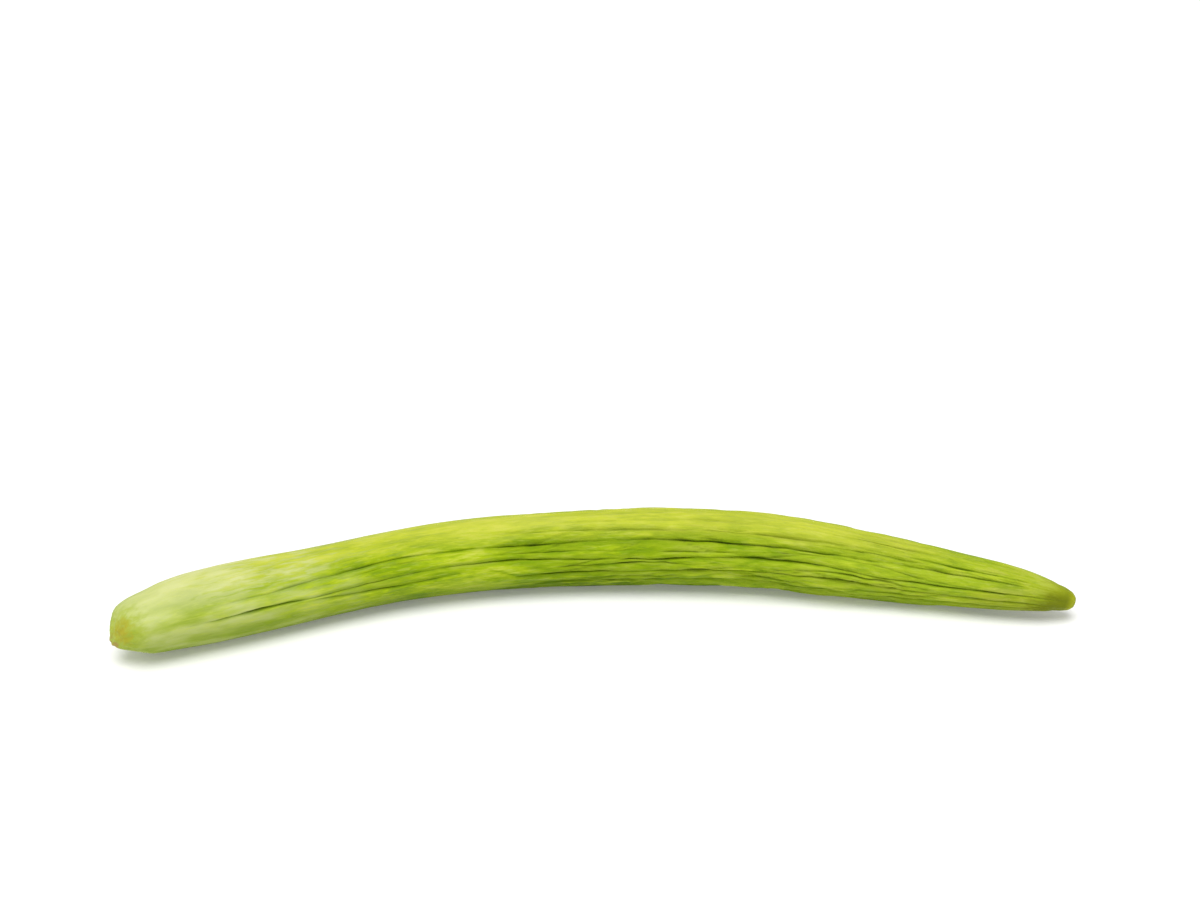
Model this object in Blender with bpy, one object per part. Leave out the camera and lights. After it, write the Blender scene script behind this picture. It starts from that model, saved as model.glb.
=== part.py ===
"""A whole Armenian cucumber, lying on its side, as picked.

Units are metres, +Z is up and the origin is at the middle of the bounding box, on the surface it lies on.
The fruit runs along X, with its blossom end at -X and its stem end at +X, and it bows towards +Y.
It grew in one piece, so it is one solid: a sphere whose rings are spread along the fruit's middle line.
"Share" means a share of the length of that middle line, from 0 at the blossom end to 1 at the stem end.
"""

import math
import random

import bmesh
import bpy
from mathutils import Vector

# The whole fruit.
LENGTH = 0.424  # along the middle line

# Turn of the middle line, seen from above, as (share, degrees from +X).
TURNS = (
    (0.00, 28),
    (0.03, 25),
    (0.10, 19),
    (0.22, 17),
    (0.44, 0),
    (0.60, -8),
    (0.74, -17),
    (0.93, -20),
    (1.00, -6),
)

# Radius of the body without its ribs, as (share, metres).
RADII = (
    (0.000, 0.0042),
    (0.028, 0.0131),
    (0.055, 0.0145),
    (0.085, 0.0159),
    (0.120, 0.0163),
    (0.220, 0.0156),
    (0.400, 0.0164),
    (0.580, 0.0175),
    (0.710, 0.0169),
    (0.800, 0.0152),
    (0.870, 0.0127),
    (0.940, 0.0096),
    (0.980, 0.0062),
    (1.000, 0.0032),
)
BLOSSOM_ROUNDING = 0.0094  # length over which the blossom end rounds off
BLOSSOM_BLUNTNESS = 3.5  # 2 is an ellipse, more is blunter
STUB_ROUNDING = 0.0032  # length over which the stub of the stem rounds off

# How far the underside stands off the surface, as (share, metres). The fruit rests at the three zeros.
REST_SHARES = (0.11, 0.50, 0.80)
LIFTS = (
    (0.000, 0.0056),
    (0.028, 0.0023),
    (0.055, 0.0014),
    (REST_SHARES[0], 0.0),
    (0.30, 0.0010),
    (REST_SHARES[1], 0.0),
    (0.66, 0.0008),
    (REST_SHARES[2], 0.0),
    (1.00, 0.0050),
)
REST_PRESS = 0.0004  # depth of fruit flattened where it rests
REST_HALF_LENGTH = 0.040  # the ribs fade out within this of a resting place
REST_HALF_WIDTH = math.radians(34)  # and within this angle of straight down
REST_CORE = 0.45  # share of both in which they are gone

# Deep creases run lengthwise between rounded ribs, as (degrees from straight up towards the front at
# mid-length, share at which the crease begins, weight on its depth).
DEEP_CREASES = (
    (14, 0.36, 0.45),
    (32, 0.26, 0.75),
    (49, 0.05, 0.90),
    (75, 0.00, 1.10),
    (98, 0.12, 1.15),
    (119, 0.22, 1.00),
    (138, 0.15, 0.80),
    (159, 0.24, 0.95),
    (177, 0.20, 0.90),
    (197, 0.28, 0.80),
    (218, 0.14, 1.00),
    (238, 0.25, 0.75),
    (256, 0.18, 1.05),
    (276, 0.27, 0.90),
    (297, 0.08, 1.00),
    (316, 0.24, 0.70),
    (337, 0.30, 0.55),
    (355, 0.38, 0.45),
)
DEEP_CREASE = 0.00130  # usual depth
DEEP_CHANGE = 0.35  # most that the depth changes along the fruit, as a share of it
DEEPENING = 0.16  # share of the fruit's length over which a crease deepens from nothing
DEEP_SWAY = math.radians(3.0)  # most that a deep crease sways along the fruit
DEEP_CYCLES = (1.2, 3.4)  # least and most waves along the fruit
CREASE_TWIST = math.radians(12)  # turn of all the creases towards the front at the blossom end
TWIST_END = 0.33  # share at which that turn has died out

# A shallow crease comes and goes between each two deep ones, and wanders from one to the other.
SHALLOW_CREASE = 0.00105
SHALLOW_PRESENCE = 0.40  # its usual depth, as a share of SHALLOW_CREASE
SHALLOW_CHANGE = 0.80  # most that this share changes along the fruit
SHALLOW_SWAY = 0.36  # most that it wanders, as a share of the way between the deep ones
SHALLOW_CYCLES = (2.6, 5.4)
SHALLOW_DELAY = (0.04, 0.14)  # how much further along than the deep one it begins, least and most

ROLL = 2.3  # power that shapes the round ribs between the creases
GROOVE_SHARE = 0.36  # share of a crease's depth that is a narrow groove, the rest being the ribs' roundness
GROOVE_WIDTH = math.radians(1.5)  # half width of the groove
SEED = 11

# Strength of all the creases, as (share, factor on their depth).
STRENGTHS = ((0.00, 0.60), (0.20, 0.75), (0.50, 1.00), (0.75, 1.15), (0.90, 0.70), (0.985, 0.00))

# Slow swells keep the body from being a perfect tube, as (metres, cycles along, phase, lobes round, phase).
SWELLS = ((0.00032, 2.3, 0.8, 1, 0.6), (0.00019, 5.1, 2.1, 2, 1.9))
SWELLS_BEGIN = (0.00, 0.10)  # shares over which they rise at the blossom end
SWELLS_END = (0.85, 0.97)  # and over which they die out at the stem end

# Steps of the solid.
STEPS_PER_GAP = 3  # between two neighbouring creases
RINGS = 56
RING_CROWDING = 0.88  # 0 spaces the rings evenly, 1 crowds them most towards both ends
LINE_STEPS = 424


def smooth_step(low, high, x):
    share = min(1.0, max(0.0, (x - low) / (high - low)))
    return share * share * (3 - 2 * share)


def smooth_between(points, x):
    """The value at x of a smooth curve through points, which never overshoots them."""
    if x <= points[0][0]:
        return points[0][1]
    if x >= points[-1][0]:
        return points[-1][1]
    slopes = [(b[1] - a[1]) / (b[0] - a[0]) for a, b in zip(points, points[1:])]
    tangents = [slopes[0]]
    for before, after in zip(slopes, slopes[1:]):
        tangents.append(2 * before * after / (before + after) if before * after > 0 else 0.0)
    tangents.append(slopes[-1])
    i = max(n for n, point in enumerate(points[:-1]) if point[0] <= x)
    (x0, y0), (x1, y1) = points[i], points[i + 1]
    span = x1 - x0
    u = (x - x0) / span
    start = y0 * (1 + 2 * u) * (1 - u) ** 2 + tangents[i] * span * u * (1 - u) ** 2
    end = y1 * u * u * (3 - 2 * u) + tangents[i + 1] * span * u * u * (u - 1)
    return start + end


def body_radius(share):
    return smooth_between(RADII, share)


def end_rounding(share):
    """1 along the body, and down to 0 at each end."""
    near_blossom = min(1.0, share * LENGTH / BLOSSOM_ROUNDING)
    near_stub = min(1.0, (1 - share) * LENGTH / STUB_ROUNDING)
    blossom = (1 - (1 - near_blossom) ** BLOSSOM_BLUNTNESS) ** (1 / BLOSSOM_BLUNTNESS)
    return blossom * math.sqrt(1 - (1 - near_stub) ** 2)


def middle_line():
    """Points of the middle line at even shares: the turns are followed in small steps."""
    x = y = 0.0
    points = []
    for i in range(LINE_STEPS + 1):
        share = i / LINE_STEPS
        height = body_radius(share) + smooth_between(LIFTS, share) - REST_PRESS
        points.append(Vector((x, y, height)))
        turn = math.radians(smooth_between(TURNS, (i + 0.5) / LINE_STEPS))
        x += LENGTH / LINE_STEPS * math.cos(turn)
        y += LENGTH / LINE_STEPS * math.sin(turn)
    return points


def on_line(line, share):
    """The point of the middle line at a share, with the directions along, up and to the front there."""
    place = share * LINE_STEPS
    i = min(int(place), LINE_STEPS - 1)
    point = line[i].lerp(line[i + 1], place - i)
    behind, ahead = max(i - 3, 0), min(i + 3, LINE_STEPS)
    along = (line[ahead] - line[behind]).normalized()
    front = along.cross(Vector((0, 0, 1))).normalized()
    return point, along, front.cross(along), front


def waves(draw, cycles):
    """Two seeded waves along the fruit, as (cycles, phase)."""
    return [(draw.uniform(*cycles), draw.uniform(0, 2 * math.pi)) for _ in range(2)]


def wave_at(pair, share):
    return sum(math.sin(2 * math.pi * cycles * share + phase) for cycles, phase in pair) / 2


def plan_creases():
    """The deep creases, each followed by the shallow one beside it, with their seeded waves."""
    draw = random.Random(SEED)
    creases = []
    for degrees, begin, weight in DEEP_CREASES:
        delay = draw.uniform(*SHALLOW_DELAY)
        for later, cycles in ((0.0, DEEP_CYCLES), (delay, SHALLOW_CYCLES)):
            creases.append({
                "angle": math.radians(degrees),
                "begin": begin + later,
                "weight": weight,
                "sway": waves(draw, cycles),
                "fade": waves(draw, cycles),
            })
    return creases


def crease_angles(creases, share):
    """Angle of every crease from straight up towards the front, in order round the fruit."""
    twist = CREASE_TWIST * (1 - smooth_step(0.0, TWIST_END, share))
    deep = [c["angle"] + DEEP_SWAY * wave_at(c["sway"], share) + twist for c in creases[0::2]]
    following = deep[1:] + [deep[0] + 2 * math.pi]
    angles = []
    for this, next_one, shallow in zip(deep, following, creases[1::2]):
        halfway = 0.5 + SHALLOW_SWAY * wave_at(shallow["sway"], share)
        angles += [this, this + (next_one - this) * halfway]
    return angles


def crease_depths(creases, share):
    """Depth of every crease, in the same order."""
    strength = smooth_between(STRENGTHS, share)
    depths = []
    for number, crease in enumerate(creases):
        wave = wave_at(crease["fade"], share)
        if number % 2 == 0:
            depth = DEEP_CREASE * (1 + DEEP_CHANGE * wave)
        else:
            depth = SHALLOW_CREASE * max(0.0, SHALLOW_PRESENCE + SHALLOW_CHANGE * wave)
        depth *= strength * crease["weight"]
        depths.append(depth * smooth_step(crease["begin"], crease["begin"] + DEEPENING, share))
    return depths


def rest_shade(share, angle):
    """1 at the middle of a resting place, where the skin is smooth, and 0 away from it."""
    off_bottom = abs(math.remainder(angle - math.pi, 2 * math.pi)) / REST_HALF_WIDTH
    off_place = min(abs(share - rest) for rest in REST_SHARES) * LENGTH / REST_HALF_LENGTH
    return (1 - smooth_step(REST_CORE, 1.0, off_bottom)) * (1 - smooth_step(REST_CORE, 1.0, off_place))


def crease_drop(angles, depths, gap, place):
    """How far the skin lies below the ribs' tops, at a place between 0 and 1 in the gap after a crease."""
    following = (gap + 1) % len(angles)
    width = math.remainder(angles[following] - angles[gap], 2 * math.pi)
    drop = 0.0
    for depth, near in ((depths[gap], place), (depths[following], 1 - place)):
        groove = math.exp(-((near * width / GROOVE_WIDTH) ** 1.6))
        drop += depth * (GROOVE_SHARE * groove + (1 - GROOVE_SHARE) * (1 - near) ** ROLL)
    return drop


def swell(share, angle):
    """Slow rises and hollows of the body."""
    height = 0.0
    for metres, cycles, phase, lobes, turn in SWELLS:
        height += metres * math.sin(2 * math.pi * cycles * share + phase) * math.cos(lobes * angle + turn)
    return height * smooth_step(*SWELLS_BEGIN, share) * (1 - smooth_step(*SWELLS_END, share))


def skin_point(line, share, angle, drop):
    """A point of the skin. What would lie under the surface is flattened onto it."""
    point, _, up, front = on_line(line, share)
    shade = rest_shade(share, angle)
    radius = body_radius(share) * end_rounding(share) + (swell(share, angle) - drop) * (1 - shade)
    spot = point + radius * (math.cos(angle) * up + math.sin(angle) * front)
    spot.z = max(spot.z, 0.0)
    return spot


def ring_share(ring):
    """Share at which a ring of the sphere goes, crowded towards the ends."""
    even = ring / RINGS
    return even - RING_CROWDING * math.sin(2 * math.pi * even) / (2 * math.pi)


def column_angles(angles):
    """Angle of each column of the sphere: every third column follows a crease."""
    following = angles[1:] + [angles[0] + 2 * math.pi]
    columns = []
    for this, next_one in zip(angles, following):
        columns += [this + (next_one - this) * step / STEPS_PER_GAP for step in range(STEPS_PER_GAP)]
    return columns


def make_cucumber():
    """The fruit: a sphere whose poles are the two ends and whose columns follow the creases."""
    creases = plan_creases()
    line = middle_line()
    columns = len(creases) * STEPS_PER_GAP
    bm = bmesh.new()
    bmesh.ops.create_uvsphere(bm, u_segments=columns, v_segments=RINGS, radius=1.0)
    rings = {}
    for vertex in bm.verts:
        ring = round(RINGS * math.acos(max(-1.0, min(1.0, -vertex.co.z))) / math.pi)
        rings.setdefault(ring, []).append(vertex)
    for ring, vertices in rings.items():
        if ring in (0, RINGS):
            vertices[0].co = on_line(line, ring / RINGS)[0]
            continue
        share = ring_share(ring)
        angles = crease_angles(creases, share)
        depths = crease_depths(creases, share)
        ring_angles = column_angles(angles)
        for vertex in vertices:
            column = round(columns * math.atan2(vertex.co.y, vertex.co.x) / (2 * math.pi)) % columns
            gap, step = divmod(column, STEPS_PER_GAP)
            drop = crease_drop(angles, depths, gap, step / STEPS_PER_GAP)
            vertex.co = skin_point(line, share, ring_angles[column], drop)
    centre_on_origin(bm)
    mesh = bpy.data.meshes.new("cucumber")
    bm.to_mesh(mesh)
    bm.free()
    mesh.shade_smooth()
    return bpy.data.objects.new("cucumber", mesh)


def centre_on_origin(bm):
    """Moves the fruit along the surface until its bounding box is centred on the origin."""
    for axis in (0, 1):
        places = [vertex.co[axis] for vertex in bm.verts]
        middle = (min(places) + max(places)) / 2
        for vertex in bm.verts:
            vertex.co[axis] -= middle


def skin_material():
    """Pale green, downy skin."""
    material = bpy.data.materials.new("skin")
    material.use_nodes = True
    shader = material.node_tree.nodes["Principled BSDF"]
    shader.inputs["Base Color"].default_value = (0.42, 0.56, 0.08, 1.0)
    shader.inputs["Roughness"].default_value = 0.55
    shader.inputs["Metallic"].default_value = 0.0
    return material


def main():
    for leftover in list(bpy.data.objects):
        bpy.data.objects.remove(leftover)
    collection = bpy.data.collections.new("armenian_cucumber")
    bpy.context.scene.collection.children.link(collection)
    cucumber = make_cucumber()
    cucumber.data.materials.append(skin_material())
    collection.objects.link(cucumber)


main()
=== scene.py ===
# A whole Armenian cucumber on a pale table: its skin with the fine relief, the light and the camera.
import math
import random

import bmesh
import bpy
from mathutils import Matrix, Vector, noise


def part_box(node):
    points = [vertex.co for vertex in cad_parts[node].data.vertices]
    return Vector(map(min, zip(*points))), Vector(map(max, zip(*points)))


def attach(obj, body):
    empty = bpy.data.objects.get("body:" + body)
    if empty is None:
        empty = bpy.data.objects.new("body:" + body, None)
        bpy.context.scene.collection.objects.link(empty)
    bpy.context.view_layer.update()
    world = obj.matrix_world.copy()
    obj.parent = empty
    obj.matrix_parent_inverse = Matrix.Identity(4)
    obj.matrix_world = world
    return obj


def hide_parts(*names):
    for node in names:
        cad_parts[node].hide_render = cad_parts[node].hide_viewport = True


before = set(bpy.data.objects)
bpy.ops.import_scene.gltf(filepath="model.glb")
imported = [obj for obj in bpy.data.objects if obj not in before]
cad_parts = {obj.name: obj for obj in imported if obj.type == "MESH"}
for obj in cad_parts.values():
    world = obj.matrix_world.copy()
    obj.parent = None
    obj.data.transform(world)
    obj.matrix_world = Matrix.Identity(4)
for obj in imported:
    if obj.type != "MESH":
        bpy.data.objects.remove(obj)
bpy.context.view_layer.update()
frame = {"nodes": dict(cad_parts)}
print("frame loaded, nodes:", ", ".join(frame["nodes"]))

# The fruit's form, in metres. A share is a share of the middle line, from 0 at the blossom end to 1 at
# the stem's end.
fruit = {
    "length": 0.424,
    "turns": (  # share, turn of the middle line seen from above, in degrees
        (0.00, 28),
        (0.03, 25),
        (0.10, 19),
        (0.22, 17),
        (0.44, 0),
        (0.60, -8),
        (0.74, -17),
        (0.93, -20),
        (1.00, -6),
    ),
    "radii": (  # share, radius without the ribs
        (0.000, 0.0045),
        (0.010, 0.0082),
        (0.020, 0.0115),
        (0.030, 0.0129),
        (0.045, 0.0139),
        (0.062, 0.0150),
        (0.090, 0.0160),
        (0.120, 0.0163),
        (0.220, 0.0156),
        (0.400, 0.0164),
        (0.580, 0.0175),
        (0.710, 0.0169),
        (0.800, 0.0152),
        (0.870, 0.0127),
        (0.940, 0.0096),
        (0.980, 0.0062),
        (1.000, 0.0032),
    ),
    "blossomRounding": 0.0098,  # length over which the blossom end rounds off
    "blossomBluntness": 2.6,  # 2 is an ellipse, more is blunter
    "stubRounding": 0.0032,  # and the stub of the stem
    "restShares": (0.11, 0.50, 0.80),  # where it touches the table
    "lifts": (  # share, how far the underside stands off the table
        (0.000, 0.0058),
        (0.014, 0.0039),
        (0.028, 0.0027),
        (0.055, 0.0014),
        (0.11, 0.0),
        (0.30, 0.0010),
        (0.50, 0.0),
        (0.66, 0.0008),
        (0.80, 0.0),
        (1.00, 0.0050),
    ),
    "press": 0.0004,  # depth of the flattened spots
    "restHalfLength": 0.040,  # the relief fades out within this of a resting place
    "restHalfWidth": math.radians(34),  # and within this angle of straight down
    "restCore": 0.45,  # share of both in which it is gone
    "restWrinkles": 0.3,  # share of the fine wrinkles that stays there
    "swells": (  # height, cycles, phase, lobes, phase
        (0.00032, 2.3, 0.8, 1, 0.6),
        (0.00019, 5.1, 2.1, 2, 1.9),
    ),
    "swellsBegin": (0.00, 0.10),
    "swellsEnd": (0.85, 0.97),
    "lineSteps": 424,
    "tiltSteps": 6,  # steps each way over which a ring's tilt is taken
}

# Noise for each crease, net or wrinkle is read from a row of its own, this far from the last.
noiseRows = {"wobble": 5.3, "flicker": 3.7, "flickerStart": 9.1, "web": 7.7, "wrinkles": 11.3}

# Creases between the ribs. Angles are measured from straight up towards the front.
creaseLook = {
    "deep": (  # degrees, share where it begins, weight
        (14, 0.42, 0.45),
        (32, 0.37, 0.65),
        (49, 0.05, 0.90),
        (75, 0.00, 1.10),
        (98, 0.35, 1.10),
        (119, 0.40, 1.00),
        (138, 0.28, 0.80),
        (159, 0.34, 0.95),
        (177, 0.24, 0.90),
        (197, 0.36, 0.80),
        (218, 0.30, 1.00),
        (238, 0.10, 0.80),
        (256, 0.38, 1.05),
        (276, 0.33, 0.90),
        (297, 0.06, 1.00),
        (316, 0.36, 0.70),
        (337, 0.30, 0.60),
        (355, 0.40, 0.45),
    ),
    "deepDepth": 0.00150,
    "deepChange": 0.60,  # how much a deep crease grows fainter and deeper along the fruit
    "deepening": 0.16,  # share of the fruit over which a crease deepens from nothing
    "deepSway": math.radians(3.0),
    "deepCycles": (1.2, 3.4),  # least and most waves of that sway along the fruit
    "fadeCycles": (3.5, 8.0),  # how often a crease grows faint and deep again
    "waves": 2,  # how many waves make up a sway or a fade
    "twist": math.radians(12),  # turn of all the creases towards the front at the blossom end
    "twistEnd": 0.33,  # share where that turn has died out
    "shallowDepth": 0.00115,
    "shallowPresence": 0.62,  # share of that depth that a shallow crease usually has
    "shallowChange": 0.75,
    "shallowSway": 0.36,  # as a share of the way between the deep creases beside it
    "shallowDelay": (0.04, 0.14),  # how much further along than the deep one it begins
    "shallowCycles": (2.6, 5.4),
    "roll": 2.3,  # how round the ribs are
    "grooveShare": 0.28,  # share of a crease that is a narrow groove, the rest being the ribs' roundness
    "grooveWidth": math.radians(1.05),
    "grooveSharpness": 1.6,
    "seed": 11,
    "strengths": (  # share, strength of all the creases there
        (0.00, 0.60),
        (0.20, 0.75),
        (0.50, 1.05),
        (0.75, 1.30),
        (0.90, 0.80),
        (0.985, 0.00),
    ),
    "wobble": ((22, math.radians(2.0)), (60, math.radians(0.9))),  # waves per length, size
    "flicker": (38, 0.75),  # how quickly and how much the depth changes
}

# Short slanting creases that leave one long crease and join the next.
linkLook = {
    "count": 150,
    "where": (0.36, 0.88),  # least and most share where one begins
    "length": (0.04, 0.10),  # as a share of the fruit's
    "depth": (0.00055, 0.00125),
    "width": math.radians(2.1),
    "reach": 3,  # widths past which a link has no depth
    "seed": 23,
}

# A net of short creases that meet and part again, so that the ribs between them are long lenses.
webLook = {
    "begins": (0.34, 0.56),  # shares between which it grows from nothing
    "ends": (0.82, 0.94),
    "layers": (  # size along, size across, depth, width
        (0.027, 0.0046, 0.00080, 0.13),
        (0.018, 0.0033, 0.00055, 0.15),
    ),
    "smoothTop": (math.radians(16), math.radians(52)),  # fainter this near to the top, links too
    "topShare": 0.22,  # share of the depth that is left at the top
}

# Fine relief of the skin, as (size along, size across, height), all cut into the CAD's surface.
wrinkleLook = ((0.026, 0.0030, 0.00022), (0.011, 0.0014, 0.00012), (0.009, 0.0060, 0.00014))

# The two ends.
endLook = {
    "reliefRadius": 0.0092,  # the relief dies out where the ends are thinner than this
    "scarPlace": (0.0020, 0.0032, 0.0032),  # the dry mark that the blossom leaves, a little above the tip
    "scarRadius": 0.0046,
    "scarDepth": 0.0009,
    "scarCore": 0.55,  # share of the radius in which the scar is at its full depth
    "buttonRadius": 0.0012,  # the small point that stands in the middle of the scar
    "buttonHeight": 0.0005,
    "buttonCore": 0.5,
    "puckers": 9,
    "puckerDepth": 0.00042,
    "puckerReach": 0.0150,
    "puckerBegin": (0.15, 0.45),  # as shares of that reach
    "puckerEnd": (0.35, 1.0),
    "puckerBend": 1.3,  # how uneven the puckers are
    "stubRadius": 0.0026,  # the dry face at the end of the stub
    "stubDepth": 0.0005,
    "stubCore": 0.45,
    "collarPlace": 0.0088,  # a shallow neck just before the stub
    "collarWidth": 0.0018,
    "collarDepth": 0.00035,
    "stubFlutes": 9,
    "fluteDepth": 0.00030,
    "fluteReach": 0.014,
    "fluteFade": 0.4,  # share of that reach over which the flutes grow from the stub's end
    "fluteBend": 0.9,  # how uneven the flutes are
}

skinMesh = {
    "columnPlaces": (0.0, 0.06, 0.15, 0.32, 0.50, 0.68, 0.85, 0.94),  # between one crease and the next
    "rings": 336,
    "blossomRings": 36,  # of them round the blossom end
    "stubRings": 20,  # and round the end of the stub
}


def smoothStep(low, high, x):
    share = min(1.0, max(0.0, (x - low) / (high - low)))
    return share * share * (3 - 2 * share)


def smoothBetween(points, x):  # a smooth curve through points that never overshoots them
    if x <= points[0][0]:
        return points[0][1]
    if x >= points[-1][0]:
        return points[-1][1]
    slopes = [(b[1] - a[1]) / (b[0] - a[0]) for a, b in zip(points, points[1:])]
    tangents = [slopes[0]]
    for before, after in zip(slopes, slopes[1:]):
        tangents.append(2 * before * after / (before + after) if before * after > 0 else 0.0)
    tangents.append(slopes[-1])
    i = max(n for n, point in enumerate(points[:-1]) if point[0] <= x)
    (x0, y0), (x1, y1) = points[i], points[i + 1]
    span = x1 - x0
    u = (x - x0) / span
    start = y0 * (1 + 2 * u) * (1 - u) ** 2 + tangents[i] * span * u * (1 - u) ** 2
    end = y1 * u * u * (3 - 2 * u) + tangents[i + 1] * span * u * u * (u - 1)
    return start + end


def bodyRadius(share):
    return smoothBetween(fruit["radii"], share)


def endRounding(share):
    nearBlossom = min(1.0, share * fruit["length"] / fruit["blossomRounding"])
    nearStub = min(1.0, (1 - share) * fruit["length"] / fruit["stubRounding"])
    blossom = (1 - (1 - nearBlossom) ** fruit["blossomBluntness"]) ** (1 / fruit["blossomBluntness"])
    return blossom * math.sqrt(1 - (1 - nearStub) ** 2)


def middleLine():
    steps = fruit["lineSteps"]
    step = fruit["length"] / steps
    x = y = 0.0
    points = []
    for i in range(steps + 1):
        share = i / steps
        height = bodyRadius(share) + smoothBetween(fruit["lifts"], share) - fruit["press"]
        points.append(Vector((x, y, height)))
        turn = math.radians(smoothBetween(fruit["turns"], (i + 0.5) / steps))
        x += step * math.cos(turn)
        y += step * math.sin(turn)
    return points


def onLine(line, share):  # the point there, with the directions along, up and to the front
    steps = fruit["lineSteps"]
    place = share * steps
    i = min(int(place), steps - 1)
    point = line[i].lerp(line[i + 1], place - i)
    tiltSteps = fruit["tiltSteps"]
    along = (line[min(i + tiltSteps, steps)] - line[max(i - tiltSteps, 0)]).normalized()
    front = along.cross(Vector((0, 0, 1))).normalized()
    return point, along, front.cross(along), front


def waves(draw, cycles):
    return [(draw.uniform(*cycles), draw.uniform(0, 2 * math.pi)) for _ in range(creaseLook["waves"])]


def waveAt(several, share):  # their mean there, from -1 to 1
    return sum(math.sin(2 * math.pi * cycles * share + phase) for cycles, phase in several) / len(several)


def planCreases():  # deep ones, each followed by the shallow one beside it
    draw = random.Random(creaseLook["seed"])
    creases = []
    for degrees, begin, weight in creaseLook["deep"]:
        delay = draw.uniform(*creaseLook["shallowDelay"])
        for later, cycles in ((0.0, creaseLook["deepCycles"]), (delay, creaseLook["shallowCycles"])):
            creases.append({
                "angle": math.radians(degrees),
                "begin": begin + later,
                "weight": weight,
                "sway": waves(draw, cycles),
                "fade": waves(draw, creaseLook["fadeCycles"]),
            })
    return creases


def creaseAngles(creases, share):
    twist = creaseLook["twist"] * (1 - smoothStep(0.0, creaseLook["twistEnd"], share))
    deep = []
    for crease in creases[0::2]:
        deep.append(crease["angle"] + creaseLook["deepSway"] * waveAt(crease["sway"], share) + twist)
    following = deep[1:] + [deep[0] + 2 * math.pi]
    angles = []
    for this, nextOne, shallow in zip(deep, following, creases[1::2]):
        halfway = 0.5 + creaseLook["shallowSway"] * waveAt(shallow["sway"], share)
        angles += [this, this + (nextOne - this) * halfway]
    for number in range(len(angles)):  # small wobbles that the CAD's longer steps leave out
        for cycles, size in creaseLook["wobble"]:
            spot = Vector((share * cycles, number * noiseRows["wobble"], cycles))
            angles[number] += size * noise.noise(spot)
    return angles


def creaseDepths(creases, share):
    strength = smoothBetween(creaseLook["strengths"], share)
    quickness, change = creaseLook["flicker"]
    depths = []
    for number, crease in enumerate(creases):
        wave = waveAt(crease["fade"], share)
        if number % 2 == 0:
            depth = creaseLook["deepDepth"] * (1 + creaseLook["deepChange"] * wave)
        else:
            depth = creaseLook["shallowDepth"]
            depth *= max(0.0, creaseLook["shallowPresence"] + creaseLook["shallowChange"] * wave)
        spot = Vector((share * quickness, number * noiseRows["flicker"], noiseRows["flickerStart"]))
        depth *= 1 + change * noise.noise(spot)
        depth *= strength * crease["weight"]
        begin = crease["begin"]
        depths.append(depth * smoothStep(begin, begin + creaseLook["deepening"], share))
    return depths


def planLinks(count):  # each link runs from one crease to a neighbour
    draw = random.Random(linkLook["seed"])
    links = []
    for _ in range(linkLook["count"]):
        begin = draw.uniform(*linkLook["where"])
        first = draw.randrange(count)
        links.append({
            "begin": begin,
            "end": begin + draw.uniform(*linkLook["length"]),
            "first": first,
            "second": (first + draw.choice((-1, 1))) % count,
            "depth": draw.uniform(*linkLook["depth"]),
        })
    return links


def linksAt(links, angles, share):  # angle and depth of the links that cross this ring
    found = []
    for link in links:
        if link["begin"] < share < link["end"]:
            u = (share - link["begin"]) / (link["end"] - link["begin"])
            start = angles[link["first"]]
            across = math.remainder(angles[link["second"]] - start, 2 * math.pi)
            depth = link["depth"] * math.sin(math.pi * u)
            found.append((start + across * smoothStep(0.0, 1.0, u), depth))
    return found


def restShade(share, angle):  # 1 where the fruit lies on the table, 0 away from it
    offBottom = abs(math.remainder(angle - math.pi, 2 * math.pi)) / fruit["restHalfWidth"]
    offPlace = min(abs(share - rest) for rest in fruit["restShares"])
    offPlace *= fruit["length"] / fruit["restHalfLength"]
    core = fruit["restCore"]
    return (1 - smoothStep(core, 1.0, offBottom)) * (1 - smoothStep(core, 1.0, offPlace))


# The drop of a rounded rib between two creases, and its wide and narrow parts.
def creaseDrop(angles, depths, gap, place):
    following = (gap + 1) % len(angles)
    width = math.remainder(angles[following] - angles[gap], 2 * math.pi)
    wide = narrow = 0.0
    for depth, near in ((depths[gap], place), (depths[following], 1 - place)):
        wide += depth * (1 - near) ** creaseLook["roll"]
        away = near * width / creaseLook["grooveWidth"]
        narrow += depth * math.exp(-(away ** creaseLook["grooveSharpness"]))
    grooveShare = creaseLook["grooveShare"]
    return wide * (1 - grooveShare) + narrow * grooveShare, wide, narrow


def webDrop(straight, share):  # creases where a drawn-out noise changes its sign
    strength = smoothStep(*webLook["begins"], share) * (1 - smoothStep(*webLook["ends"], share))
    if strength == 0:
        return 0.0
    drop = 0.0
    for number, (along, across, depth, width) in enumerate(webLook["layers"]):
        row = noiseRows["web"] * number
        spot = Vector((straight.x / along + row, straight.y / across, straight.z / across))
        drop = max(drop, depth * math.exp(-((noise.noise(spot) / width) ** 2)))
    return drop * strength


def linkDrop(crossing, angle):
    drop = 0.0
    for linkAngle, depth in crossing:
        away = abs(math.remainder(angle - linkAngle, 2 * math.pi)) / linkLook["width"]
        if away < linkLook["reach"]:
            drop += depth * math.exp(-(away ** 2))
    return drop


def swell(share, angle):
    height = 0.0
    for metres, cycles, phase, lobes, turn in fruit["swells"]:
        height += metres * math.sin(2 * math.pi * cycles * share + phase) * math.cos(lobes * angle + turn)
    fade = smoothStep(*fruit["swellsBegin"], share) * (1 - smoothStep(*fruit["swellsEnd"], share))
    return height * fade


def wrinkles(straight):  # fine relief, always inwards
    drop = 0.0
    for number, (along, across, height) in enumerate(wrinkleLook):
        row = noiseRows["wrinkles"] * number
        spot = Vector((straight.x / along, straight.y / across, straight.z / across + row))
        drop += height * (0.5 + 0.5 * noise.noise(spot))
    return drop


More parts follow.
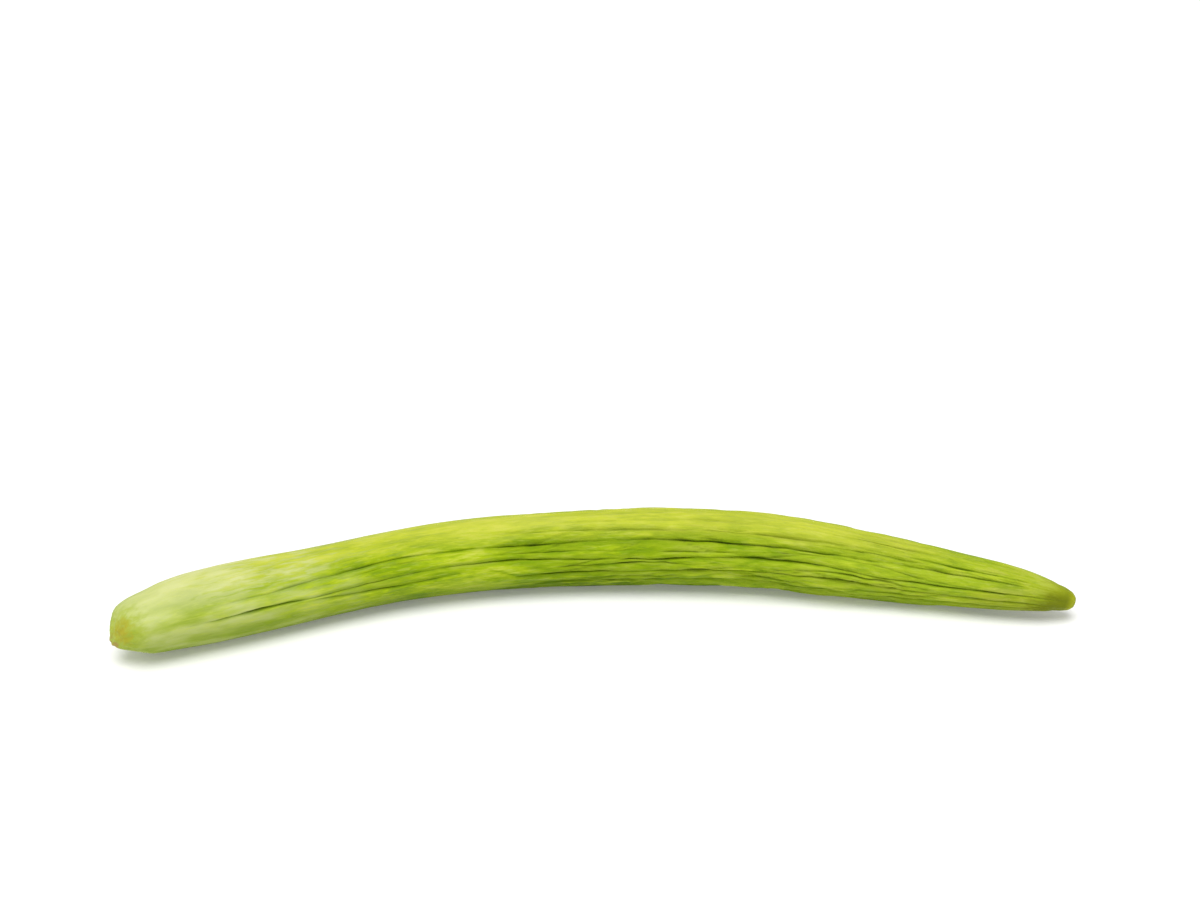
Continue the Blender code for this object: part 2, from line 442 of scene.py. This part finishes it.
def ringShare(ring):  # even steps round both domed ends, and even steps along the body between them
    rings, first, last = skinMesh["rings"], skinMesh["blossomRings"], skinMesh["stubRings"]
    blossomEnd = fruit["blossomRounding"] / fruit["length"]
    stubEnd = fruit["stubRounding"] / fruit["length"]
    if ring <= first:
        return blossomEnd * (1 - math.cos(math.pi / 2 * ring / first))
    if ring >= rings - last:
        return 1 - stubEnd * (1 - math.cos(math.pi / 2 * (rings - ring) / last))
    place = (ring - first) / (rings - first - last)
    return blossomEnd + (1 - stubEnd - blossomEnd) * place


def columnAngles(angles):  # the columns crowd towards each crease
    following = angles[1:] + [angles[0] + 2 * math.pi]
    columns = []
    for this, nextOne in zip(angles, following):
        columns += [this + (nextOne - this) * place for place in skinMesh["columnPlaces"]]
    return columns


def stubFlutes(share, angle):  # lengthwise flutes that deepen towards the stub's cut
    fromStub = (1 - share) * fruit["length"] / endLook["fluteReach"]
    if fromStub >= 1:
        return 0.0
    fade = smoothStep(0.0, endLook["fluteFade"], fromStub) * (1 - fromStub)
    fromCollar = (fromStub * endLook["fluteReach"] - endLook["collarPlace"]) / endLook["collarWidth"]
    collar = endLook["collarDepth"] * math.exp(-(fromCollar ** 2))
    flutes = 1 + math.cos(endLook["stubFlutes"] * angle + endLook["fluteBend"] * math.sin(2 * angle))
    return collar + endLook["fluteDepth"] * fade * flutes


def endDent(straight, share, radius):  # how far the scar and the stub's cut sink in, along the fruit
    if share > 0.5:
        if (1 - share) * fruit["length"] >= fruit["stubRounding"]:
            return 0.0
        face = 1 - smoothStep(endLook["stubCore"], 1.0, radius / endLook["stubRadius"])
        return -endLook["stubDepth"] * face
    offset = straight - Vector(endLook["scarPlace"])
    away = offset.length
    if away > endLook["puckerReach"]:
        return 0.0
    dent = endLook["scarDepth"] * (1 - smoothStep(endLook["scarCore"], 1.0, away / endLook["scarRadius"]))
    button = 1 - smoothStep(endLook["buttonCore"], 1.0, away / endLook["buttonRadius"])
    dent -= endLook["buttonHeight"] * button
    turn = math.atan2(offset.z, offset.y)
    fade = smoothStep(*endLook["puckerBegin"], away / endLook["puckerReach"])
    fade *= 1 - smoothStep(*endLook["puckerEnd"], away / endLook["puckerReach"])
    puckers = 1 + math.cos(endLook["puckers"] * turn + endLook["puckerBend"] * math.sin(3 * turn))
    return dent + endLook["puckerDepth"] * fade * puckers


def makeSkin():
    creases = planCreases()
    links = planLinks(len(creases))
    line = middleLine()
    rings = skinMesh["rings"]
    columns = len(creases) * len(skinMesh["columnPlaces"])
    restWrinkles = fruit["restWrinkles"]
    bm = bmesh.new()
    bmesh.ops.create_uvsphere(bm, u_segments=columns, v_segments=rings, radius=1.0)
    straightLayer = bm.verts.layers.float_vector.new("straight")  # the fruit as if it were a straight rod
    grooveLayer = bm.verts.layers.float.new("groove")
    valleyLayer = bm.verts.layers.float.new("valley")
    byRing = {}
    for vertex in bm.verts:
        ring = round(rings * math.acos(max(-1.0, min(1.0, -vertex.co.z))) / math.pi)
        byRing.setdefault(ring, []).append(vertex)
    for ring, vertices in byRing.items():
        share = ringShare(ring)
        point, along, up, front = onLine(line, share)
        rounded = bodyRadius(share) * endRounding(share)
        angles = creaseAngles(creases, share)
        depths = creaseDepths(creases, share)
        crossing = linksAt(links, angles, share)
        ringAngles = columnAngles(angles)
        for vertex in vertices:
            column = 0
            if rounded > 0:
                column = round(columns * math.atan2(vertex.co.y, vertex.co.x) / (2 * math.pi)) % columns
            angle = ringAngles[column]
            acrossUp, acrossFront = rounded * math.cos(angle), rounded * math.sin(angle)
            straight = Vector((share * fruit["length"], acrossUp, acrossFront))
            free = 1 - restShade(share, angle)
            gap, step = divmod(column, len(skinMesh["columnPlaces"]))
            drop, valley, groove = creaseDrop(angles, depths, gap, skinMesh["columnPlaces"][step])
            offTop = abs(math.remainder(angle, 2 * math.pi))
            slant = max(linkDrop(crossing, angle), webDrop(straight, share))
            fade = smoothStep(*webLook["smoothTop"], offTop)
            slant *= webLook["topShare"] + (1 - webLook["topShare"]) * fade
            body = min(1.0, rounded / endLook["reliefRadius"])
            wrinkled = restWrinkles + (1 - restWrinkles) * free
            cut = (drop + slant) * free + wrinkles(straight) * body * wrinkled
            radius = rounded + swell(share, angle) * free - cut - stubFlutes(share, angle)
            spot = point + max(radius, 0.0) * (math.cos(angle) * up + math.sin(angle) * front)
            spot += along * endDent(straight, share, rounded)
            spot.z = max(spot.z, 0.0)
            vertex[straightLayer] = straight
            vertex[grooveLayer] = min(1.0, (groove + slant) / creaseLook["deepDepth"]) * free
            vertex[valleyLayer] = min(1.0, (valley + slant) / creaseLook["deepDepth"]) * free
            vertex.co = spot
    places = [vertex.co.copy() for vertex in bm.verts]
    low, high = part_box("cucumber")
    for axis in (0, 1):  # set in the middle of the CAD's box
        middle = (min(p[axis] for p in places) + max(p[axis] for p in places)) / 2
        move = (low[axis] + high[axis]) / 2 - middle
        for vertex in bm.verts:
            vertex.co[axis] += move
    mesh = bpy.data.meshes.new("skin")
    bm.to_mesh(mesh)
    bm.free()
    mesh.shade_smooth()
    skin = bpy.data.objects.new("skin", mesh)
    bpy.context.scene.collection.objects.link(skin)
    return skin


skin = makeSkin()
print("skin made,", len(skin.data.polygons), "faces")


def paint(red, green, blue):  # a colour as a picture shows it, made linear
    def linear(value):
        value /= 255
        return value / 12.92 if value <= 0.04045 else ((value + 0.055) / 1.055) ** 2.4
    return linear(red), linear(green), linear(blue), 1.0


def addNode(tree, kind, **settings):
    node = tree.nodes.new(kind)
    for name, value in settings.items():
        setattr(node, name, value)
    return node


# Noise of a size along and a size across.
def noiseAt(tree, vector, stretch, detail=3.0, roughness=0.55, distortion=0.0):
    mapping = addNode(tree, "ShaderNodeMapping")
    along, across = stretch
    mapping.inputs["Scale"].default_value = (1 / along, 1 / across, 1 / across)
    tree.links.new(vector, mapping.inputs["Vector"])
    texture = addNode(tree, "ShaderNodeTexNoise")
    texture.inputs["Scale"].default_value = 1.0
    texture.inputs["Detail"].default_value = detail
    texture.inputs["Roughness"].default_value = roughness
    texture.inputs["Distortion"].default_value = distortion
    tree.links.new(mapping.outputs["Vector"], texture.inputs["Vector"])
    return texture.outputs["Fac"]


def mapped(tree, value, low, high, toLow=0.0, toHigh=1.0):
    node = addNode(tree, "ShaderNodeMapRange", interpolation_type="SMOOTHSTEP")
    node.inputs["From Min"].default_value = low
    node.inputs["From Max"].default_value = high
    node.inputs["To Min"].default_value = toLow
    node.inputs["To Max"].default_value = toHigh
    tree.links.new(value, node.inputs["Value"])
    return node.outputs["Result"]


def combined(tree, operation, first, second):
    node = addNode(tree, "ShaderNodeMath", operation=operation)
    for socket, value in zip(node.inputs, (first, second)):
        if isinstance(value, (int, float)):
            socket.default_value = value
        else:
            tree.links.new(value, socket)
    return node.outputs["Value"]


def blended(tree, factor, first, second, mode="MIX"):
    node = addNode(tree, "ShaderNodeMix", data_type="RGBA", blend_type=mode)
    for socket, value in zip((node.inputs[0], node.inputs[6], node.inputs[7]), (factor, first, second)):
        if isinstance(value, (int, float, tuple)):
            socket.default_value = value
        else:
            tree.links.new(value, socket)
    return node.outputs[2]


def graded(tree, value, name):  # colours along a value
    stops = skinRamps[name]
    ramp = addNode(tree, "ShaderNodeValToRGB")
    while len(ramp.color_ramp.elements) < len(stops):
        ramp.color_ramp.elements.new(0.5)
    for element, (place, colour) in zip(ramp.color_ramp.elements, stops):
        element.position = place
        element.color = skinColours[colour]
    tree.links.new(value, ramp.inputs["Fac"])
    return ramp.outputs["Color"]


def within(tree, *limits):  # 1 inside all of these zones and 0 outside, or as strong as the zones say
    product = None
    for value, zone in limits:
        mask = mapped(tree, value, *skinZones[zone])
        product = mask if product is None else combined(tree, "MULTIPLY", product, mask)
    return product


def weighted(tree, *terms):  # a sum of values, each with its weight
    total = None
    for value, weight in terms:
        term = combined(tree, "MULTIPLY", value, weight)
        total = term if total is None else combined(tree, "ADD", total, term)
    return total


def distanceFrom(tree, vector, place):
    offset = addNode(tree, "ShaderNodeVectorMath", operation="SUBTRACT")
    offset.inputs[1].default_value = place
    tree.links.new(vector, offset.inputs[0])
    length = addNode(tree, "ShaderNodeVectorMath", operation="LENGTH")
    tree.links.new(offset.outputs["Vector"], length.inputs[0])
    return length.outputs["Value"]


# The skin's colours. Those without paint are tints that the colour under them is multiplied by.
skinColours = {
    "dark": paint(136, 168, 6),
    "leaf": paint(164, 190, 10),
    "lime": paint(186, 206, 34),
    "pale": paint(206, 216, 80),
    # pale flecks, also used as the painted highlight on the rib crests
    "fleckAndHighlight": paint(203, 215, 98),
    # painted shade on the ribs' flanks beside each crease
    "valley": paint(122, 154, 2),
    # a painted shade line down each crease
    "groove": paint(76, 96, 6),
    "blossomDark": paint(170, 189, 76),
    "blossomMid": paint(190, 204, 106),
    "blossomPale": paint(208, 217, 146),
    # a painted highlight on top of the blossom end
    "blossomTopHighlight": paint(221, 225, 164),
    # painted shade on the lower blossom end
    "blossomUnderShade": (0.82, 0.84, 0.70, 1.0),
    # painted shade on the smooth underside behind the blossom end
    "smoothUnderShade": (0.60, 0.64, 0.50, 1.0),
    "stemEnd": paint(186, 200, 66),
    # a pale band along the top: partly the skin's own yellower tint, partly a painted highlight
    "upperTintAndHighlight": paint(206, 210, 78),
    # multiplied in by height: painted shade darkening the front, the shoulder and most of all the
    # underside, and a yellower, paler top that is partly the skin's own tint and partly a painted
    # highlight
    "upperSideTintAndHighlight": (1.07, 0.98, 1.05, 1.0),
    "frontShade": (0.94, 0.95, 0.86, 1.0),
    "shoulderShade": (0.88, 0.89, 0.78, 1.0),
    "underShade": (0.68, 0.73, 0.60, 1.0),
    "scar": paint(172, 140, 80),
    "ripeCore": paint(174, 162, 44),
    "ripe": paint(174, 173, 49),
    "ripeRim": paint(164, 180, 53),
    # painted shade just before the stub, strongest below
    "neckShade": (0.83, 0.80, 0.84, 1.0),
    # the stub's olive, dark below as painted shade, and its painted lit top
    "stub": paint(112, 122, 0),
    "stubLitTop": paint(150, 162, 20),
    "stubTip": paint(170, 177, 28),
    "stubFace": paint(140, 128, 40),
}

# Where each colour lies on the values of the mixed patterns.
skinRamps = {
    "body": ((0.40, "dark"), (0.47, "leaf"), (0.54, "lime"), (0.62, "pale")),
    "young": ((0.38, "blossomDark"), (0.49, "blossomMid"), (0.60, "blossomPale")),
}

# Sizes of the skin's patterns in metres, along the fruit and across it.
skinPatterns = {
    "patches": (0.024, 0.0062),
    "streaks": (0.0100, 0.0017),
    "fibres": (0.0040, 0.00055),
    "flecks": (0.0075, 0.0010),
    "lineBreaks": (0.014, 0.0040),
    "blots": (0.0030, 0.0018),
    "grain": (0.0016, 0.00050),
}

# How much each pattern counts where they are mixed.
skinMixes = {
    "body": (0.46, 0.34, 0.20),  # patches, streaks, fibres
    "young": (0.65, 0.35),  # patches, and the mix of the body
    "crestEdge": 0.12,  # streaks, against the depth of the valley
    "relief": (0.5, 1.0, 1.2),  # grain, fibres, streaks
}

# Each zone begins at its first number and ends at its second. Its strength goes from the third to the
# fourth, or else from 0 to 1.
skinZones = {
    # metres along the fruit from its blossom end
    "youngX": (0.020, 0.135, 0.95, 0.0),
    "stemEndX": (0.245, 0.320, 0.0, 0.32),
    "crestX": (0.11, 0.22),
    "stemFadeX": (0.235, 0.300, 1.0, 0.55),
    "blossomLowX": (0.06, 0.17, 1.0, 0.0),
    "smoothBeginX": (0.055, 0.11),
    "smoothEndX": (0.20, 0.26, 1.0, 0.0),
    "blossomTopX": (0.035, 0.095, 0.46, 0.0),
    "upperTintX": (0.03, 0.12, 0.1, 0.5),
    "neckX": (0.370, 0.394),
    "stubX": (0.4010, 0.4125, 0.0, 0.93),
    "stubTipX": (0.4185, 0.4220, 0.0, 0.8),
    "stubFaceX": (0.4215, 0.4230),
    "reliefX": (0.020, 0.150, 0.35, 1.0),
    # metres up from its middle line
    # all of these heights bound painted light and shade
    "crestZ": (-0.013, -0.003),
    "frontZ": (-0.014, 0.005),
    "upperZ": (0.0110, 0.0180),
    "shoulderBeginZ": (0.0080, 0.0120),
    "shoulderEndZ": (0.0135, 0.0168, 1.0, 0.0),
    "blossomLowZ": (-0.005, 0.0115, 1.0, 0.0),
    "smoothZ": (-0.012, -0.002, 1.0, 0.0),
    "blossomTopZ": (0.006, 0.0140),
    "upperTintZ": (0.011, 0.018),
    "neckZ": (0.003, 0.008, 1.0, 0.6),
    "stubTopZ": (0.0028, 0.0065),
    # metres from a place
    "ripeRim": (0.0050, 0.0125, 0.70, 0.0),
    "ripe": (0.0030, 0.0068, 0.75, 0.0),
    "ripeCore": (0.0006, 0.0032, 0.65, 0.0),
    "scar": (0.0010, 0.0040, 0.70, 0.0),
    "stubFace": (0.0010, 0.0024, 1.0, 0.0),
    # values of a pattern or of a crease
    "flecks": (0.54, 0.66, 0.0, 0.40),
    # painted highlight on the rib crests, painted shade on their flanks and in the creases
    "crestHighlight": (-0.06, 0.06, 0.45, 0.0),
    "valley": (0.08, 0.50, 0.0, 0.55),
    "groove": (0.40, 1.10),
    "lineBreaks": (0.38, 0.60, 0.10, 0.74),
    "raggedBlossom": (0.3, 0.7, -0.030, 0.030),
    "raggedScar": (0.3, 0.7, -0.0022, 0.0022),
    "raggedStub": (0.3, 0.7, -0.0035, 0.0035),
    "roughness": (0.3, 0.7, 0.48, 0.64),
}

# Places on the fruit as if it were a straight rod: along it, up, and to the front.
skinPlaces = {
    "ripe": (0.0046, 0.0058, 0.0054),  # the golden spot beside the blossom's scar
    "scar": (0.0, 0.0004, 0.0008),
}
# the stub's dark olive reaches further along below, a painted shade
stubShadeSlant = 0.75  # how much sooner the stub's colour begins for each metre further down


def skinMaterial():
    material = bpy.data.materials.new("downySkin")
    material.use_nodes = True
    tree = material.node_tree
    links = tree.links
    shader = tree.nodes["Principled BSDF"]
    straight = addNode(tree, "ShaderNodeAttribute", attribute_name="straight").outputs["Vector"]
    groove = addNode(tree, "ShaderNodeAttribute", attribute_name="groove").outputs["Fac"]
    valley = addNode(tree, "ShaderNodeAttribute", attribute_name="valley").outputs["Fac"]
    parts = addNode(tree, "ShaderNodeSeparateXYZ")
    links.new(straight, parts.inputs["Vector"])
    straightX, straightZ = parts.outputs["X"], parts.outputs["Y"]

    # blotches, streaks and fibres, all drawn out along the fruit
    patches = noiseAt(tree, straight, skinPatterns["patches"], detail=2.0)
    streaks = noiseAt(tree, straight, skinPatterns["streaks"], distortion=0.5)
    fibres = noiseAt(tree, straight, skinPatterns["fibres"], roughness=0.65)
    tone = weighted(tree, *zip((patches, streaks, fibres), skinMixes["body"]))
    colour = graded(tree, tone, "body")

    # both ends are paler
    fromBlossom = combined(tree, "ADD", straightX, within(tree, (streaks, "raggedBlossom")))
    youngSkin = graded(tree, weighted(tree, *zip((patches, tone), skinMixes["young"])), "young")
    colour = blended(tree, within(tree, (fromBlossom, "youngX")), colour, youngSkin)
    colour = blended(tree, within(tree, (fromBlossom, "stemEndX")), colour, skinColours["stemEnd"])

    # pale flecks, then painted light and shade on the ribs: a painted highlight on their crests, painted
    # shade on their flanks and a painted shade line in each crease
    flecks = noiseAt(tree, straight, skinPatterns["flecks"], detail=2.0)
    colour = blended(tree, within(tree, (flecks, "flecks")), colour, skinColours["fleckAndHighlight"])
    crestHighlight = combined(tree, "SUBTRACT", valley, weighted(tree, (streaks, skinMixes["crestEdge"])))
    crestHighlight = within(tree, (crestHighlight, "crestHighlight"), (straightZ, "crestZ"), (straightX, "crestX"))
    colour = blended(tree, crestHighlight, colour, skinColours["fleckAndHighlight"])
    # painted shade on the flanks
    flankShade = within(tree, (valley, "valley"), (straightX, "stemFadeX"))
    colour = blended(tree, flankShade, colour, skinColours["valley"])
    # a painted shade line in each crease, broken up along the fruit
    lineBreaks = noiseAt(tree, straight, skinPatterns["lineBreaks"])
    creaseShadeLines = within(tree, (groove, "groove"), (lineBreaks, "lineBreaks"), (straightX, "stemFadeX"))
    colour = blended(tree, creaseShadeLines, colour, skinColours["groove"])

    # painted light and shade by height: darker at the front, on the shoulder and most below, darker still
    # under the blossom end; paler on top of the blossom end and along the top, which is also yellower,
    # partly the skin's own tint and partly a painted highlight
    front = within(tree, (straightZ, "frontZ"))
    paintedHeightShading = blended(tree, front, skinColours["underShade"], skinColours["frontShade"])
    paintedHeightShading = blended(tree, within(tree, (straightZ, "upperZ")), paintedHeightShading, skinColours["upperSideTintAndHighlight"])
    colour = blended(tree, 1.0, colour, paintedHeightShading, mode="MULTIPLY")
    shoulderShade = within(tree, (straightZ, "shoulderBeginZ"), (straightZ, "shoulderEndZ"))
    colour = blended(tree, shoulderShade, colour, skinColours["shoulderShade"], mode="MULTIPLY")
    # painted shade on the lower blossom end
    blossomLowShade = within(tree, (straightZ, "blossomLowZ"), (fromBlossom, "blossomLowX"))
    colour = blended(tree, blossomLowShade, colour, skinColours["blossomUnderShade"], mode="MULTIPLY")
    # painted shade on the smooth underside behind the blossom end
    smoothLowShade = within(tree, (fromBlossom, "smoothBeginX"), (fromBlossom, "smoothEndX"),
                       (straightZ, "smoothZ"))
    colour = blended(tree, smoothLowShade, colour, skinColours["smoothUnderShade"], mode="MULTIPLY")
    # a painted highlight on top of the blossom end
    blossomTopHighlight = within(tree, (straightZ, "blossomTopZ"), (fromBlossom, "blossomTopX"))
    colour = blended(tree, blossomTopHighlight, colour, skinColours["blossomTopHighlight"])
    # a pale top band: partly the skin's own tint, partly a painted highlight
    upperHighlightMask = within(tree, (straightZ, "upperTintZ"), (fromBlossom, "upperTintX"))
    colour = blended(tree, upperHighlightMask, colour, skinColours["upperTintAndHighlight"])

    # the golden spot and the blossom's scar
    blots = within(tree, (noiseAt(tree, straight, skinPatterns["blots"]), "raggedScar"))
    fromRipe = combined(tree, "ADD", distanceFrom(tree, straight, skinPlaces["ripe"]), blots)
    for name in ("ripeRim", "ripe", "ripeCore"):
        colour = blended(tree, within(tree, (fromRipe, name)), colour, skinColours[name])
    fromScar = combined(tree, "ADD", distanceFrom(tree, straight, skinPlaces["scar"]), blots)
    colour = blended(tree, within(tree, (fromScar, "scar")), colour, skinColours["scar"])

    # the stub of the stem: olive, with a painted lit top, and painted shade reaching further along below
    fromStem = combined(tree, "ADD", straightX, within(tree, (streaks, "raggedStub")))
    # painted shade: the stub's dark olive begins sooner further down
    fromStem = combined(tree, "SUBTRACT", fromStem, weighted(tree, (straightZ, stubShadeSlant)))
    # painted shade just before the stub, strongest below
    neck = within(tree, (fromStem, "neckX"), (straightZ, "neckZ"))
    colour = blended(tree, neck, colour, skinColours["neckShade"], mode="MULTIPLY")
    # a painted lit top over the stub's darker olive
    stubLitTop = within(tree, (straightZ, "stubTopZ"))
    stubLitAndShaded = blended(tree, stubLitTop, skinColours["stub"], skinColours["stubLitTop"])
    colour = blended(tree, within(tree, (fromStem, "stubX")), colour, stubLitAndShaded)
    colour = blended(tree, within(tree, (straightX, "stubTipX")), colour, skinColours["stubTip"])
    flat = addNode(tree, "ShaderNodeVectorMath", operation="MULTIPLY")
    flat.inputs[1].default_value = (0.0, 1.0, 1.0)
    links.new(straight, flat.inputs[0])
    fromAxis = distanceFrom(tree, flat.outputs["Vector"], (0.0, 0.0, 0.0))
    face = within(tree, (fromAxis, "stubFace"), (straightX, "stubFaceX"))
    colour = blended(tree, face, colour, skinColours["stubFace"])
    links.new(colour, shader.inputs["Base Color"])

    links.new(within(tree, (streaks, "roughness")), shader.inputs["Roughness"])
    shader.inputs["Metallic"].default_value = 0.0
    shader.inputs["Specular IOR Level"].default_value = 0.08
    shader.inputs["Sheen Weight"].default_value = 0.02
    shader.inputs["Sheen Roughness"].default_value = 0.6
    shader.inputs["Subsurface Weight"].default_value = 0.10
    shader.inputs["Subsurface Radius"].default_value = (1.0, 0.9, 0.2)
    shader.inputs["Subsurface Scale"].default_value = 0.002

    grain = noiseAt(tree, straight, skinPatterns["grain"], detail=4.0, roughness=0.7)
    relief = weighted(tree, *zip((grain, fibres, streaks), skinMixes["relief"]))
    relief = combined(tree, "MULTIPLY", relief, within(tree, (straightX, "reliefX")))
    bump = addNode(tree, "ShaderNodeBump")
    bump.inputs["Strength"].default_value = 0.70
    bump.inputs["Distance"].default_value = 0.00045
    links.new(relief, bump.inputs["Height"])
    links.new(bump.outputs["Normal"], shader.inputs["Normal"])
    return material


skin.data.materials.append(skinMaterial())
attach(skin, "root")
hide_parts("cucumber")
print("skin finished")

# The table, the light and the camera.
studio = {
    "tableSize": 30.0,
    "tableDepth": 0.0002,  # how far the table's top lies below the fruit
    "tableColour": (0.90, 0.90, 0.90, 1.0),
    "worldColour": (1.0, 1.0, 1.0, 1.0),
    "worldStrength": 0.50,
    "tableGlow": 0.14,  # a lit table, as in pictures of goods on pure white
    "lampTowards": (-0.12, -0.26, 1.0),  # from the fruit to the wide lamp above it
    "lampAngle": 44,  # how wide the lamp looks from the fruit, in degrees
    "lampStrength": 2.20,
    "cameraPlace": (-0.08174, -0.85397, 0.5505),
    "cameraTurn": -5.65,  # degrees
    "cameraTilt": 60.9,
    "lens": 70.0,
    "sensor": 36.0,
}


def makeTable():
    bm = bmesh.new()
    bmesh.ops.create_grid(bm, x_segments=1, y_segments=1, size=studio["tableSize"] / 2)
    bmesh.ops.translate(bm, verts=bm.verts, vec=(0, 0, -studio["tableDepth"]))
    mesh = bpy.data.meshes.new("table")
    bm.to_mesh(mesh)
    bm.free()
    table = bpy.data.objects.new("table", mesh)
    bpy.context.scene.collection.objects.link(table)
    material = bpy.data.materials.new("paleTable")
    material.use_nodes = True
    shader = material.node_tree.nodes["Principled BSDF"]
    shader.inputs["Base Color"].default_value = studio["tableColour"]
    shader.inputs["Roughness"].default_value = 0.9
    shader.inputs["Specular IOR Level"].default_value = 0.1
    shader.inputs["Emission Color"].default_value = (1.0, 1.0, 1.0, 1.0)
    shader.inputs["Emission Strength"].default_value = studio["tableGlow"]
    mesh.materials.append(material)


def makeLight():
    scene = bpy.context.scene
    world = bpy.data.worlds.new("softWorld")
    world.use_nodes = True
    background = world.node_tree.nodes["Background"]
    background.inputs["Color"].default_value = studio["worldColour"]
    background.inputs["Strength"].default_value = studio["worldStrength"]
    scene.world = world
    lamp = bpy.data.lights.new("wideLamp", "SUN")
    lamp.angle = math.radians(studio["lampAngle"])
    lamp.energy = studio["lampStrength"]
    holder = bpy.data.objects.new("wideLamp", lamp)
    holder.location = Vector(studio["lampTowards"])
    holder.rotation_euler = (-Vector(studio["lampTowards"])).to_track_quat("-Z", "Y").to_euler()
    scene.collection.objects.link(holder)
    scene.view_settings.view_transform = "Standard"


def makeCamera():
    camera = bpy.data.cameras.new("camera")
    camera.lens = studio["lens"]
    camera.sensor_width = studio["sensor"]
    holder = bpy.data.objects.new("camera", camera)
    holder.location = studio["cameraPlace"]
    holder.rotation_euler = (math.radians(studio["cameraTilt"]), 0.0, math.radians(studio["cameraTurn"]))
    bpy.context.scene.collection.objects.link(holder)
    bpy.context.scene.camera = holder


makeTable()
makeLight()
makeCamera()
print("table, light and camera set")
